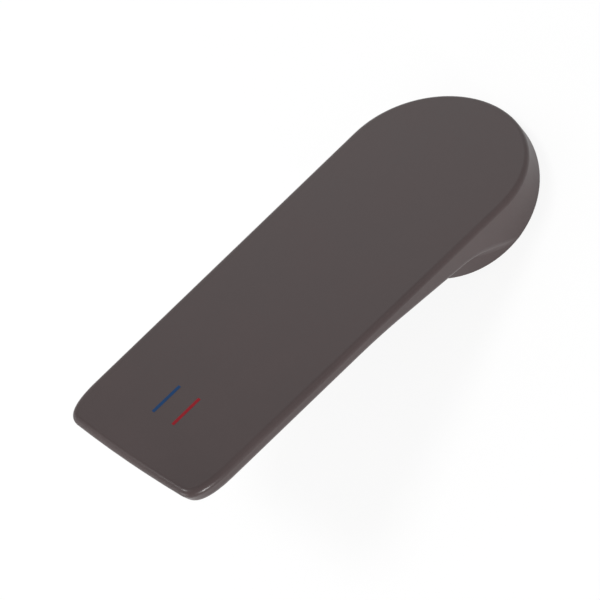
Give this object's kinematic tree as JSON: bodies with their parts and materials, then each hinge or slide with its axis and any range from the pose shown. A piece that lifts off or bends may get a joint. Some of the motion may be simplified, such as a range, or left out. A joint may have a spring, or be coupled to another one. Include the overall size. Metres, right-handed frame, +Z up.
{
  "type": "replacement tap handle",
  "caption": "Lever handle for a single-lever mixer tap: a round hollow head with a stem socket and a flat paddle lever that climbs to a square tip, with a clamping screw.",
  "frame": {"origin": "middle of the stem socket's mouth, on the stem's axis", "axes": "+Z up the stem and out through the head's top, +X from the head towards the lever's tip, +Y to the side of the red mark"},
  "size_m": [0.1166, 0.046, 0.0607],
  "materials": {
    "graphite_coat": "satin graphite coat on die-cast zinc",
    "screw_steel": "plain stainless steel"
  },
  "bodies": {
    "root": {"handle_casting": "graphite_coat", "grub_screw": "screw_steel"}
  },
  "joints": []
}
